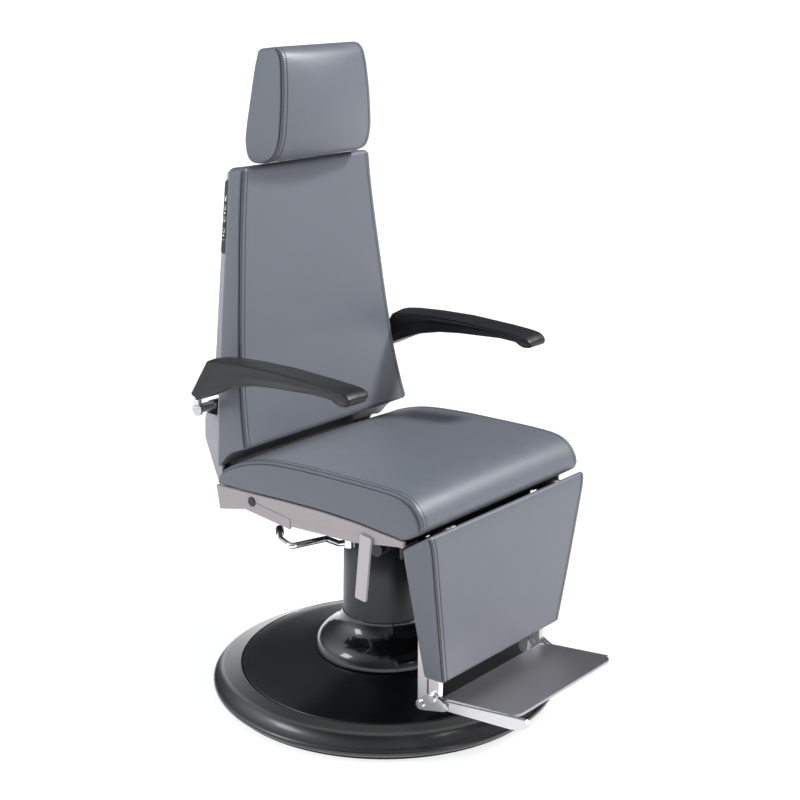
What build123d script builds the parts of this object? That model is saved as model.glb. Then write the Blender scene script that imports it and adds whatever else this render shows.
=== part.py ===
from build123d import *
import os
from math import atan, cos, degrees, radians, sin

# Examination chair on a round pedestal base. Millimetres, +Z up, the sitter faces -Y, the sitter's left is +X.
# The origin is on the floor, on the column's axis.

run_clear = 0.06        # radial clearance of a pin in its bore
gap = 0.5               # gap between neighbouring covers
side_gap = 2.0          # side gap between parts that swing past each other
face_clear = 0.3        # gap between a lever's boss and the face that it turns on

# Base
base_r = 350.0
base_edge_z = 14.0      # height of the rim's widest point
plate_t = 8.0
rim_lift = 1.0          # the rim clears the floor
rim_round = 9.0
rim_nose = 12.0         # thickness of the rim's rounded edge
joint_r = 291.0         # joint between rim and inner cover
joint_z = 48.0
cover_t = 4.0
lip_w = 10.0            # ledge of the rim under the inner cover
skirt_foot_r = 142.0
skirt_foot_z = 76.0
skirt_neck_z = 151.0    # where the skirt's ogee leaves the straight neck
skirt_top_z = 157.0
skirt_t = 2.5

# Column and lift
mast_r = 58.0
mast_t = 6.0
bush_wall = 8.0
tube_wall = 10.0
tube_bore_r = mast_r + bush_wall
tube_r = tube_bore_r + tube_wall
cover_r = tube_r + 9.5  # moving column cover, straight lower part
cover_taper = 3.5
cover_top_r = cover_r - cover_taper
cover_foot_z = 22.0
head_z = 335.0          # underside of the head flange
tube_top_z = 300.0
flange_r = 108.0
flange_t = 10.0
bush_len = 68.0
mast_foot_z = 26.0
head_t = 8.0
bearing_r = 50.0
bearing_t = 7.0
swivel_pin_r = 20.0
swivel_plate_r = 112.0
swivel_plate_t = 8.0

# Seat
seat_half_w = 237.0
cushion_z = 427.0       # flat underside of the seat cushion
seat_rear_y = 223.0
nose_y = -290.0
web_t = 4.0
flange_w = 47.0
board_t = 6.0
beam_h = 21.0
beam_w = 30.0
beam_grip = 15.0        # length of a cross beam under each side flange
beam_half_len = seat_half_w - flange_w + beam_grip
box_half_w = 150.0
box_front_y = -140.0
box_rear_y = 108.0
box_h = 38.0
box_wall = 4.0

# Recline pivot, armrest pivot, headrest pivot, as (y, z)
recline = (130.0, 417.0)
arm_pivot = (246.0, 585.0)
head_pivot = (222.0, 1092.0)
bolt_r = 6.0
back_arm_x = seat_half_w - 49.0     # inner face of a back arm, clear of the side flange
back_arm_t = 7.0
hub_r = 9.5

# Back
back_half_w = seat_half_w - 6.0     # at back_wide_z, narrowing upwards to back_top_half_w
back_wide_z = 516.0
back_top_half_w = 166.0
back_top_z = 1037.0
shell_foot_half_w = seat_half_w - 37.0
shell_foot_z = 386.0
shell_t = 4.0
back_board_t = 10.0
back_clear_r = 100.0    # the back cushion's lower edge turns on this radius about the recline pivot
axle_r = 9.0
axle_half_len = seat_half_w + 25.0
keypad_mid_z = 946.0
keypad_len = 139.0
keypad_w = 11.0
keypad_y = 242.5
keypad_t = 3.0
button_len = 19.0
button_step = 21.5
button_w = 8.0
button_t = 2.0
button_travel = 1.0
button_clear = 0.2

# Headrest
head_half_w = 128.0
head_top_half_w = 110.0
head_foot_z = 1047.0
head_top_z = 1260.0
stem_r = 5.0
stem_x = 40.0
stem_y = 231.0
stem_foot_z = 880.0
cross_r = 8.0
cross_half_len = 62.0
lug_w = 10.0

# Armrests
armrest_x = seat_half_w + 30.0
armrest_w = 47.0
bracket_t = 10.0
arm_hub_r = 16.0
tongue_r = 12.0
tongue_heel = (226.0, 640.0)
tongue_tip = (150.0, 672.0)
pad_tip_r = 14.0

# Legrest and footrest
leg_pivot = (-297.0, 445.0)
link_step = (27.0, -20.7)   # from each leg pivot to the matching link pivot
leg_foot_pivot = (-262.0, 105.0)
leg_half_w = seat_half_w - 4.0
leg_foot_half_w = 171.0
leg_top_z = 458.0
leg_foot_z = 147.0
tube_x = 152.0              # inner face of the legrest tubes and links
tube_t = 12.0
tube_w = 24.0
link_w = 22.0
hinge_t = 5.0
pin_r = 5.0
small_pin_r = 3.5
top_eye_r = 6.5             # eyes at the legrest's hinge pins
foot_eye_r = 11.0
fold_eye_r = 9.0
foot_bolt_r = 8.0
bolt_head_t = 4.0
fold_pivot = (-288.0, 96.0)
footplate_t = 5.0
footplate_corner = 22.0
side_bar_t = 8.0
footplate_half_w = tube_x + tube_t - side_bar_t - 1.0

# Levers
rod_r = 6.0
rod_rise = 14.0         # the rod's outer run lies this much above its hub
rod_bend_r = 9.0
grip_wall = 2.0
grip_len = 26.0
lever_w = 26.0
lever_t = 5.0
lever_len = 128.0
lever_lean = 96.2           # angle of the lever's length from the forward direction
lever_corner = 3.0
lever_boss_r = 7.0
lever_pivot = (-166.0, 416.0)
lever_mid = (-160.0, 360.0)
knob_r = 15.0
knob_len = 16.0
collar_len = 5.0
knob_groove_r = 2.2
knob_at = (-127.0, 366.0)
brake_at = (-138.0, -30.0)

os.makedirs("parts", exist_ok=True)


def save(piece, name):
    piece.part.label = name
    export_step(piece.part, "parts/" + name + ".step")


def outline(*points):
    """A closed straight-sided face in the current sketch."""
    Polygon(*points, align=None)


def mirror_sides():
    """The sitter's left is +X."""
    return (("left", 1), ("right", -1))


def across(sign, inner, outer):
    """Side-view sketch plane at the inner face and the signed thickness to the outer face."""
    return Plane.YZ.offset(sign * inner), sign * (outer - inner)


def link_end(pivot):
    """The link pivot that belongs to a leg pivot."""
    return (pivot[0] + link_step[0], pivot[1] + link_step[1])


# ---- Base ------------------------------------------------------------------------------------------------
land_r = skirt_foot_r + side_gap
plate_r = base_r - rim_nose - side_gap
cone = (skirt_foot_z - joint_z) / (joint_r - land_r)

# Floor plate
with BuildPart() as base_plate:
    with BuildSketch():
        Circle(plate_r)
    extrude(amount=plate_t)
    chamfer(base_plate.faces().sort_by(Axis.Z)[-1].edges(), 2)
save(base_plate, "base_plate")

# Outer rim: a rounded nose and a sloping top with a ledge for the inner cover
with BuildPart() as base_rim:
    with BuildSketch(Plane.XZ) as rim_section:
        outline(
            (base_r - rim_nose, rim_lift), (base_r, rim_lift), (base_r, 2 * base_edge_z),
            (joint_r, joint_z), (joint_r, joint_z - cover_t),
            (joint_r - lip_w, joint_z - cover_t + cone * lip_w),
            (joint_r - lip_w, joint_z - 2 * cover_t + cone * lip_w), (joint_r, joint_z - 2 * cover_t),
            (base_r - rim_nose, 2 * base_edge_z - cover_t),
        )
        fillet(rim_section.vertices().group_by(Axis.X)[-1], rim_round)
    revolve(axis=Axis.Z)
save(base_rim, "base_rim")

# Inner cover: a gentle cone with a flat land for the skirt
with BuildPart() as base_cover:
    with BuildSketch(Plane.XZ):
        outline(
            (joint_r - gap, joint_z), (land_r, skirt_foot_z), (flange_r + side_gap, skirt_foot_z),
            (flange_r + side_gap, skirt_foot_z - cover_t), (land_r, skirt_foot_z - cover_t),
            (joint_r - gap, joint_z - cover_t + cone * gap),
        )
    revolve(axis=Axis.Z)
save(base_cover, "base_cover")

# Skirt around the column's foot: an ogee from the flat shoulder up to a straight neck
skirt_r = cover_r + 0.8 + skirt_t
ogee_shares = (
    (1.0, 0.0), (0.98, 0.12), (0.89, 0.27), (0.68, 0.46), (0.42, 0.63), (0.20, 0.78), (0.06, 0.91), (0.0, 1.0),
)


def ogee(inset):
    """Points of the skirt's curve from the foot up, moved inwards by the inset."""
    reach = skirt_foot_r - skirt_r
    rise = skirt_neck_z - skirt_foot_z
    return [(skirt_r + out * reach - inset, skirt_foot_z + up * rise) for out, up in ogee_shares]


with BuildPart() as column_skirt:
    with BuildSketch(Plane.XZ):
        with BuildLine():
            Spline(*ogee(0), tangents=((0, 1), (0, 1)))
            Line((skirt_r, skirt_neck_z), (skirt_r, skirt_top_z))
            Line((skirt_r, skirt_top_z), (skirt_r - skirt_t, skirt_top_z))
            Line((skirt_r - skirt_t, skirt_top_z), (skirt_r - skirt_t, skirt_neck_z))
            Spline(*ogee(skirt_t), tangents=((0, 1), (0, 1)))
            Line((skirt_foot_r - skirt_t, skirt_foot_z), (skirt_foot_r, skirt_foot_z))
        make_face()
    revolve(axis=Axis.Z)
save(column_skirt, "column_skirt")

# Fixed guide tube on its flange
with BuildPart() as column_tube:
    with BuildSketch(Plane.XY.offset(plate_t)):
        Circle(flange_r)
    extrude(amount=flange_t)
    with BuildSketch(Plane.XY.offset(plate_t)):
        Circle(tube_r)
    extrude(amount=tube_top_z - plate_t)
    with BuildSketch(Plane.XY.offset(plate_t)):
        Circle(tube_bore_r)
    extrude(amount=tube_top_z - plate_t, mode=Mode.SUBTRACT)
    with Locations((0, 0, plate_t + flange_t)):
        with PolarLocations((flange_r + cover_r) / 2, 8):
            CounterSinkHole(4, 7)
save(column_tube, "column_tube")

# Bush that guides the mast
with BuildPart() as guide_bush:
    with BuildSketch(Plane.XY.offset(tube_top_z - bush_len)):
        Circle(tube_bore_r)
        Circle(mast_r + run_clear, mode=Mode.SUBTRACT)
    extrude(amount=bush_len)
save(guide_bush, "guide_bush")

# ---- Lift ------------------------------------------------------------------------------------------------
with BuildPart() as mast:
    with BuildSketch(Plane.XY.offset(mast_foot_z)):
        Circle(mast_r)
        Circle(mast_r - mast_t, mode=Mode.SUBTRACT)
    extrude(amount=head_z - mast_foot_z)
save(mast, "mast")

# Column cover: straight where it slides through the skirt, tapered above
with BuildPart() as column_cover:
    with BuildSketch(Plane.XZ):
        outline(
            (cover_r, cover_foot_z), (cover_r, skirt_top_z), (cover_top_r, head_z),
            (cover_top_r - skirt_t, head_z), (cover_r - skirt_t, skirt_top_z), (cover_r - skirt_t, cover_foot_z),
        )
    revolve(axis=Axis.Z)
save(column_cover, "column_cover")

# Head flange with the lower bearing ring and the swivel pin
bearing_z = head_z + head_t + bearing_t
swivel_z = bearing_z + gap
box_z = swivel_z + swivel_plate_t
with BuildPart() as head_flange:
    with BuildSketch(Plane.XY.offset(head_z)):
        Circle(cover_top_r + 6)
    extrude(amount=head_t)
    with BuildSketch(Plane.XY.offset(head_z)):
        Circle(bearing_r)
    extrude(amount=head_t + bearing_t)
    with BuildSketch(Plane.XY.offset(head_z)):
        Circle(swivel_pin_r)
    extrude(amount=box_z + box_wall - head_z)
save(head_flange, "head_flange")

# ---- Seat ------------------------------------------------------------------------------------------------
with BuildPart() as swivel_plate:
    with BuildSketch(Plane.XY.offset(swivel_z)):
        Circle(swivel_plate_r)
        Circle(swivel_pin_r + run_clear, mode=Mode.SUBTRACT)
    extrude(amount=swivel_plate_t)
    with Locations((0, 0, box_z)):
        with PolarLocations(swivel_plate_r - 14, 6):
            Hole(4)
save(swivel_plate, "swivel_plate")

# Underframe box: open upwards, it houses the recline motor
beam_z = box_z + box_h
frame_flange_z = beam_z + beam_h
with BuildPart() as underframe:
    with BuildSketch(Plane.XY.offset(box_z)) as box_floor:
        with Locations((0, (box_front_y + box_rear_y) / 2)):
            Rectangle(2 * box_half_w, box_rear_y - box_front_y)
        fillet(box_floor.vertices(), 12)
    extrude(amount=box_h)
    offset(amount=-box_wall, openings=underframe.faces().sort_by(Axis.Z)[-1])
    with Locations((0, 0, box_z)):
        Hole(swivel_pin_r + run_clear, depth=box_h)
save(underframe, "underframe")

# Cross beams with bolt holes
for name, beam_y in (("beam_front", -105.0), ("beam_rear", 85.0)):
    with BuildPart() as beam:
        with BuildSketch(Plane.YZ.offset(-beam_half_len)):
            with Locations((beam_y, beam_z + beam_h / 2)):
                RectangleRounded(beam_w, beam_h, 3)
                RectangleRounded(beam_w - 5, beam_h - 5, 1, mode=Mode.SUBTRACT)
        extrude(amount=2 * beam_half_len)
    save(beam, name)

# Side plates: deep around the recline pivot and slim forward, with an arched top that cradles the cushion, and a
# flange under the board
web_foot = [(-252, 422), (-176, 409), (-135, 401), (-48, 396), (28, 391), (32, 385), (151, 396), (222, 380)]
web_top = [(229, 429), (131, 433), (39, 438), (-50, 441), (-138, 440), (-200, 436), (-252, 433)]
for name, sign in mirror_sides():
    with BuildPart() as seat_frame:
        web_plane, web_depth = across(sign, seat_half_w - web_t, seat_half_w)
        with BuildSketch(web_plane):
            outline(*web_foot, *web_top)
            with Locations(recline):
                Circle(bolt_r + run_clear, mode=Mode.SUBTRACT)
        extrude(amount=web_depth)
        ledge_plane, ledge_depth = across(sign, seat_half_w - flange_w, seat_half_w - web_t)
        with BuildSketch(ledge_plane):
            outline(
                (-246, frame_flange_z), (-246, frame_flange_z + web_t),
                (box_rear_y, frame_flange_z + web_t), (box_rear_y, frame_flange_z),
            )
        extrude(amount=ledge_depth)
    save(seat_frame, "seat_frame_" + name)

# Seat board: wide in front of the recline pivots, narrow between the back arms
board_z = frame_flange_z + web_t
with BuildPart() as seat_board:
    with BuildSketch(Plane.XY.offset(board_z)):
        wide = seat_half_w - web_t - side_gap
        narrow = back_arm_x - 2 * side_gap
        outline(
            (-wide, -246), (wide, -246), (wide, box_rear_y), (narrow, box_rear_y), (narrow, seat_rear_y - 8),
            (-narrow, seat_rear_y - 8), (-narrow, box_rear_y), (-wide, box_rear_y),
        )
    extrude(amount=cushion_z - board_z)
save(seat_board, "seat_board")

# Seat cushion: a gently dished top, a rolled nose, and a low rounded rear
with BuildPart() as seat_cushion:
    with BuildSketch(Plane.YZ.offset(-seat_half_w)):
        with BuildLine():
            Spline(
                (seat_rear_y - 3, 444), (207, 463), (161, 487), (92, 506), (0, 514), (-100, 517),
                (-196, 517), (-243, 511), (-268, 499), (-284, 479), (nose_y, 459),
            )
            Polyline((nose_y, 459), (-252, cushion_z), (seat_rear_y, cushion_z), (seat_rear_y - 3, 444))
        make_face()
    extrude(amount=2 * seat_half_w)
    for name, sign in mirror_sides():
        rebate_plane, rebate_depth = across(sign, seat_half_w - web_t - gap, seat_half_w)
        with BuildSketch(rebate_plane):
            outline((seat_rear_y + 20, cushion_z), *[(y, z + gap) for y, z in web_top], (nose_y, cushion_z))
        extrude(amount=rebate_depth, mode=Mode.SUBTRACT)
save(seat_cushion, "seat_cushion")

# Recline pivot bolts: black domed heads outside the side plates
for name, sign in mirror_sides():
    with BuildPart() as pivot_bolt:
        shank_plane, shank_depth = across(sign, back_arm_x - 2, seat_half_w)
        with BuildSketch(shank_plane):
            with Locations(recline):
                Circle(bolt_r)
        extrude(amount=shank_depth)
        cap_plane, cap_depth = across(sign, seat_half_w, seat_half_w + bolt_head_t)
        with BuildSketch(cap_plane):
            with Locations(recline):
                Circle(hub_r)
        extrude(amount=cap_depth)
        fillet(pivot_bolt.faces().sort_by(Axis.X)[-1 if sign > 0 else 0].edges(), 2)
    save(pivot_bolt, "pivot_bolt_" + name)

# Front hinge plates with the pins that carry the legrest and its links
plate_x = tube_x + tube_t + gap
hinge_top_z = frame_flange_z
for name, sign in mirror_sides():
    with BuildPart() as leg_hinge:
        hinge_plane, hinge_depth = across(sign, plate_x, plate_x + hinge_t)
        with BuildSketch(hinge_plane):
            with Locations(leg_pivot, link_end(leg_pivot)):
                Circle(top_eye_r)
            with Locations((-238, hinge_top_z - 12)):
                Circle(8)
            make_hull()
            outline(
                (-240, hinge_top_z), (-240, hinge_top_z - 20), (-120, hinge_top_z - 20),
                (-120, hinge_top_z),
            )
        extrude(amount=hinge_depth)
        pin_plane, pin_depth = across(sign, tube_x, plate_x)
        with BuildSketch(pin_plane):
            with Locations(leg_pivot, link_end(leg_pivot)):
                Circle(small_pin_r)
        extrude(amount=pin_depth)
    save(leg_hinge, "leg_hinge_" + name)

# ---- Levers ----------------------------------------------------------------------------------------------
# Brake rod: a hub under the underframe and a bent chrome rod that reaches out under the seat's side
brake_z = box_z - 14
with BuildPart() as brake_rod:
    with BuildLine() as rod_path:
        FilletPolyline(
            (brake_at[0], brake_at[1], brake_z), (-155, -18, brake_z), (-178, -8, brake_z + rod_rise),
            (-250, 16, brake_z + rod_rise), (-236, 56, brake_z + rod_rise), (-216, 78, brake_z + rod_rise),
            radius=rod_bend_r,
        )
    with BuildSketch(Plane(origin=rod_path.line @ 0, z_dir=rod_path.line % 0)):
        Circle(rod_r)
    sweep(path=rod_path.line)
    with BuildSketch(Plane.XY.offset(brake_z - 8)):
        with Locations(brake_at):
            Circle(11)
    extrude(amount=box_z - gap - brake_z + 8)
save(brake_rod, "brake_rod")

rod_end = rod_path.line @ 1
rod_way = rod_path.line % 1
with BuildPart() as brake_grip:
    with BuildSketch(Plane(origin=rod_end, z_dir=rod_way)):
        Circle(rod_r + grip_wall)
    extrude(amount=grip_len)
    fillet(brake_grip.edges(), 2.5)
save(brake_grip, "brake_grip")

# Flat bar lever on a boss of the right side plate
lever_x = seat_half_w + side_gap
with BuildPart() as flat_lever:
    lever_plane, lever_depth = across(-1, lever_x, lever_x + lever_t)
    with BuildSketch(lever_plane):
        with Locations(Location((*lever_mid, 0), lever_lean)):
            RectangleRounded(lever_len, lever_w, lever_corner)
    extrude(amount=lever_depth)
    boss_plane, boss_depth = across(-1, seat_half_w + face_clear, lever_x)
    with BuildSketch(boss_plane):
        with Locations(lever_pivot):
            Circle(lever_boss_r)
    extrude(amount=boss_depth)
save(flat_lever, "flat_lever")

# Clamp knob on the underframe's right wall: a ribbed cap on a short collar
with BuildPart() as clamp_knob:
    collar_plane, collar_depth = across(-1, box_half_w + face_clear, box_half_w + collar_len)
    with BuildSketch(collar_plane):
        with Locations(knob_at):
            Circle(knob_r - 4)
    extrude(amount=collar_depth)
    cap_plane, cap_depth = across(-1, box_half_w + collar_len, box_half_w + collar_len + knob_len)
    with BuildSketch(cap_plane):
        with Locations(knob_at):
            Circle(knob_r)
            with PolarLocations(knob_r + 1, 10):
                Circle(knob_groove_r, mode=Mode.SUBTRACT)
    extrude(amount=cap_depth)
save(clamp_knob, "clamp_knob")


# ---- Back ------------------------------------------------------------------------------------------------
def half_width(z, inset=0.0):
    """Half width of the back at height z, between its widest level and its top."""
    narrowing = (back_half_w - back_top_half_w) / (back_top_z - back_wide_z)
    return back_half_w - narrowing * (z - back_wide_z) - inset


def back_front_view(foot_z, top_z, inset=0.0):
    """Tapered front outline of the back from foot_z to top_z."""
    foot_w = half_width(foot_z, inset) if foot_z > back_wide_z else back_half_w - inset
    if foot_z < back_wide_z:
        foot_w -= (back_half_w - shell_foot_half_w) * (back_wide_z - foot_z) / (back_wide_z - shell_foot_z)
    points = [(foot_w, foot_z), (back_half_w - inset, back_wide_z), (half_width(top_z, inset), top_z)]
    if foot_z >= back_wide_z:
        points.pop(1)
    outline(*points, *[(-x, z) for x, z in reversed(points)])


shell_rear = [(246, 1030), (250, 860), (248, 676), (268, 553), (262, 494), (257, 438), (248, shell_foot_z)]
board_rear = [(222, 486), (232, 600), (236, 760), (236, 1030)]
shell_front = [(241, shell_foot_z), (236, 450)] + board_rear

# Shell: a tray, open to the front, with a window on each side for the armrest bracket
with BuildPart() as back_shell:
    with BuildSketch(Plane.YZ.offset(-back_half_w)):
        outline(*shell_front, *shell_rear)
    extrude(amount=2 * back_half_w)
    with BuildSketch(Plane.XZ):
        back_front_view(shell_foot_z, back_top_z)
    extrude(amount=-400, mode=Mode.INTERSECT)
    with BuildPart(mode=Mode.PRIVATE) as cavity:
        with BuildSketch(Plane.YZ.offset(-back_half_w)):
            inner_rear = [(y - shell_t, z) for y, z in shell_rear[1:-1]]
            outline((200, 1024), (241, 1024), *inner_rear, (247, 392), (200, 392))
        extrude(amount=2 * back_half_w)
        with BuildSketch(Plane.XZ):
            back_front_view(shell_foot_z, back_top_z, shell_t)
        extrude(amount=-400, mode=Mode.INTERSECT)
    add(cavity.part, mode=Mode.SUBTRACT)
    with Locations((0, arm_pivot[0] + 2, arm_pivot[1])):
        Box(2 * back_half_w, 28, 40, mode=Mode.SUBTRACT)
save(back_shell, "back_shell")

# Board behind the cushion, slotted at the top for the headrest stems
board_front = [(y - back_board_t, z) for y, z in board_rear]
with BuildPart() as back_board:
    with BuildSketch(Plane.YZ.offset(-back_half_w)):
        outline(*board_front, *reversed(board_rear))
    extrude(amount=2 * back_half_w)
    with BuildSketch(Plane.XZ):
        back_front_view(board_rear[0][1], back_top_z, shell_t + 2)
    extrude(amount=-400, mode=Mode.INTERSECT)
    for stem_side in (-stem_x, stem_x):
        with BuildSketch(Plane.XZ.offset(-stem_y)):
            with Locations((stem_side, (stem_foot_z - 12 + back_top_z) / 2)):
                Rectangle(2 * stem_r + 6, back_top_z - stem_foot_z + 12)
        extrude(amount=back_board_t, both=True, mode=Mode.SUBTRACT)
save(back_board, "back_board")

# Back cushion: its lower edge follows an arc about the recline pivot
arc_point = [
    (recline[0] + back_clear_r * cos(radians(turn)), recline[1] + back_clear_r * sin(radians(turn)))
    for turn in (80, 55, 30)
]
with BuildPart() as back_cushion:
    with BuildSketch(Plane.YZ.offset(-back_half_w)):
        with BuildLine():
            ThreePointArc(*arc_point)
            Polyline(arc_point[2], *board_front, (213, 1043), (203, 1043), (198, 1034))
            Spline((198, 1034), (203, 982), (196, 833), (184, 702), (161, 560), arc_point[0])
        make_face()
    extrude(amount=2 * back_half_w)
    with BuildSketch(Plane.XZ):
        back_front_view(recline[1], back_top_z + 10)
    extrude(amount=-400, mode=Mode.INTERSECT)
save(back_cushion, "back_cushion")

# Hinge arms: under the seat cushion from the recline pivot, then up inside the shell to the armrest axle
for name, sign in mirror_sides():
    with BuildPart() as back_arm:
        arm_plane, arm_depth = across(sign, back_arm_x, back_arm_x + back_arm_t)
        with BuildSketch(arm_plane):
            outline(
                (recline[0], recline[1] + hub_r - gap), (240, recline[1] + hub_r - gap), (240, 560), (234, 566),
                (234, 606), (254, 606), (259, 570), (256, 500), (250, 440), (243, 402),
                (recline[0], recline[1] - hub_r + gap),
            )
            with Locations(recline):
                Circle(hub_r - gap)
                Circle(bolt_r + run_clear, mode=Mode.SUBTRACT)
            with Locations(arm_pivot):
                Circle(axle_r, mode=Mode.SUBTRACT)
        extrude(amount=arm_depth)
    save(back_arm, "back_arm_" + name)

# Axle that carries both armrests, with a cap at each end
with BuildPart() as arm_axle:
    with BuildSketch(Plane.YZ.offset(-axle_half_len)):
        with Locations(arm_pivot):
            Circle(axle_r)
    extrude(amount=2 * axle_half_len)
    for name, sign in mirror_sides():
        end_plane, end_depth = across(sign, axle_half_len, axle_half_len + 5)
        with BuildSketch(end_plane):
            with Locations(arm_pivot):
                Circle(axle_r + 4)
        extrude(amount=end_depth)
save(arm_axle, "arm_axle")

# Guide for the headrest stems, behind the board's slots
with BuildPart() as head_guide:
    with BuildSketch(Plane.XY.offset(985)):
        for stem_side in (-stem_x, stem_x):
            with Locations((stem_side, stem_y)):
                Rectangle(2 * stem_r + 5.8, back_board_t)
                Circle(stem_r + run_clear, mode=Mode.SUBTRACT)
    extrude(amount=44)
    with BuildSketch(Plane.XY.offset(985)):
        with Locations((0, stem_y + back_board_t / 2 + 2)):
            Rectangle(2 * stem_x + 30, 4)
    extrude(amount=36)
save(head_guide, "head_guide")

# Keypad on the shell's right flank, with four pockets for the buttons
flank = Vector(-1, 0, (back_half_w - back_top_half_w) / (back_top_z - back_wide_z)).normalized()
keypad_face = Plane(
    origin=(-half_width(keypad_mid_z), keypad_y, keypad_mid_z), x_dir=(0, -1, 0), z_dir=flank
)
button_places = [(0, button_step * (place - 1.5)) for place in range(4)]
with BuildPart() as keypad:
    with BuildSketch(keypad_face):
        SlotOverall(keypad_len, keypad_w, rotation=90)
    extrude(amount=keypad_t)
    with BuildSketch(keypad_face.offset(keypad_t - button_t)):
        with Locations(*button_places):
            Rectangle(button_w + 2 * button_clear, button_len + 2 * button_clear)
    extrude(amount=button_t, mode=Mode.SUBTRACT)
save(keypad, "keypad")

for number, place in enumerate(button_places, 1):
    with BuildPart() as button:
        with BuildSketch(keypad_face.offset(keypad_t - button_t + button_travel + 0.1)):
            with Locations(place):
                RectangleRounded(button_w, button_len, 2)
        extrude(amount=button_t)
    save(button, "button_" + str(number))

# ---- Headrest --------------------------------------------------------------------------------------------
for name, sign in mirror_sides():
    with BuildPart() as head_stem:
        with BuildSketch(Plane.XY.offset(stem_foot_z)):
            with Locations((sign * stem_x, stem_y)):
                Circle(stem_r)
        extrude(amount=head_pivot[1] - 10 - stem_foot_z)
    save(head_stem, "head_stem_" + name)

# Cross rod on two cheeks that stand on the stems
with BuildPart() as head_cross:
    with BuildSketch(Plane.YZ.offset(-cross_half_len)):
        with Locations(head_pivot):
            Circle(cross_r)
    extrude(amount=2 * cross_half_len)
    for stem_side in (-stem_x, stem_x):
        with BuildSketch(Plane.YZ.offset(stem_side - stem_r)):
            with Locations(head_pivot, (stem_y, head_pivot[1])):
                Circle(cross_r + 2)
            make_hull()
        extrude(amount=2 * stem_r)
save(head_cross, "head_cross")

# Headrest board with lugs that turn on the cross rod
head_board_y = head_pivot[0] - cross_r - 8
with BuildPart() as head_board:
    with BuildSketch(Plane.XZ.offset(-head_board_y)):
        with Locations((0, head_pivot[1] + 24)):
            Rectangle(150, 90)
    extrude(amount=8)
    for lug_x in (-18, 18):
        with BuildSketch(Plane.YZ.offset(lug_x - lug_w / 2)):
            with Locations(head_pivot):
                Circle(cross_r + 5)
            outline(
                (head_board_y, head_pivot[1] + 13), (head_pivot[0], head_pivot[1] + 13),
                (head_pivot[0], head_pivot[1] - 13), (head_board_y, head_pivot[1] - 13),
            )
            with Locations(head_pivot):
                Circle(cross_r + run_clear, mode=Mode.SUBTRACT)
        extrude(amount=lug_w)
save(head_board, "head_board")

# Headrest cushion: a teardrop section, thick and forward at the neck, with a pocket behind for the hinge
with BuildPart() as head_cushion:
    with BuildSketch(Plane.YZ.offset(-head_half_w)):
        with BuildLine():
            Spline(
                (212, 1254), (222, 1216), (230, 1161), (238, 1114), (240, 1086), (233, 1060), (218, head_foot_z),
            )
            Line((218, head_foot_z), (190, head_foot_z))
            Spline((190, head_foot_z), (160, 1065), (147, 1093), (145, 1130), (146, 1184), (155, 1244))
            Polyline((155, 1244), (166, head_top_z), (206, head_top_z), (212, 1254))
        make_face()
    extrude(amount=2 * head_half_w)
    with BuildSketch(Plane.XZ):
        outline(
            (-head_half_w, head_foot_z), (head_half_w, head_foot_z),
            (head_top_half_w, head_top_z), (-head_top_half_w, head_top_z),
        )
    extrude(amount=-400, mode=Mode.INTERSECT)
    with Locations((0, head_board_y + 32, head_pivot[1] + 4)):
        Box(2 * cross_half_len + 28, 80, 132, mode=Mode.SUBTRACT)
save(head_cushion, "head_cushion")

# ---- Armrests --------------------------------------------------------------------------------------------
arm_inner_x = armrest_x - armrest_w / 2
bracket_x = axle_half_len - gap     # outer face of the cranked bracket
for name, sign in mirror_sides():
    with BuildPart() as arm_bracket:
        hub_plane, hub_depth = across(sign, back_half_w + 6, axle_half_len - gap)
        with BuildSketch(hub_plane):
            with Locations(arm_pivot):
                Circle(arm_hub_r)
        extrude(amount=hub_depth)
        crank_plane, crank_depth = across(sign, bracket_x - bracket_t, bracket_x)
        with BuildSketch(crank_plane):
            with Locations(arm_pivot):
                Circle(arm_hub_r)
            with Locations(tongue_heel):
                Circle(tongue_r)
            make_hull()
        extrude(amount=crank_depth)
        tongue_plane, tongue_depth = across(sign, bracket_x - bracket_t, bracket_x)
        with BuildSketch(tongue_plane):
            with Locations(tongue_heel, tongue_tip):
                Circle(tongue_r)
            make_hull()
        extrude(amount=tongue_depth)
        with BuildSketch(hub_plane):
            with Locations(arm_pivot):
                Circle(axle_r + run_clear)
        extrude(amount=hub_depth, mode=Mode.SUBTRACT)
    save(arm_bracket, "arm_bracket_" + name)

    # Pad: flat on top, tapering from a deep rear to a rounded tip, with a slot for the bracket
    with BuildPart() as arm_pad:
        pad_plane, pad_depth = across(sign, arm_inner_x, arm_inner_x + armrest_w)
        with BuildSketch(pad_plane) as pad_section:
            outline(
                (237, 622), (186, 699), (88, 708), (8, 711), (-94, 707), (-176, 702), (-176, 668),
                (-142, 680), (-94, 684), (8, 678), (61, 672), (115, 659), (167, 638), (215, 614),
            )
            fillet(pad_section.vertices().group_by(Axis.X)[0], pad_tip_r)
        extrude(amount=pad_depth)
        slot_plane, slot_depth = across(sign, bracket_x - bracket_t, bracket_x)
        with BuildSketch(slot_plane):
            with Locations(arm_pivot, tongue_heel):
                Circle(arm_hub_r)
            make_hull()
        extrude(amount=slot_depth, mode=Mode.SUBTRACT)
        with BuildSketch(slot_plane):
            with Locations(tongue_heel, tongue_tip):
                Circle(tongue_r)
            make_hull()
        extrude(amount=slot_depth, mode=Mode.SUBTRACT)
    save(arm_pad, "arm_pad_" + name)

# ---- Legrest ---------------------------------------------------------------------------------------------
tube_front_y = leg_foot_pivot[0] - tube_w / 2
tube_rear_y = leg_foot_pivot[0] + tube_w / 2
link_foot = link_end(leg_foot_pivot)
tube_turn_z = 396.0     # above this level the tubes lean forward to the hinge pins

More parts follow.
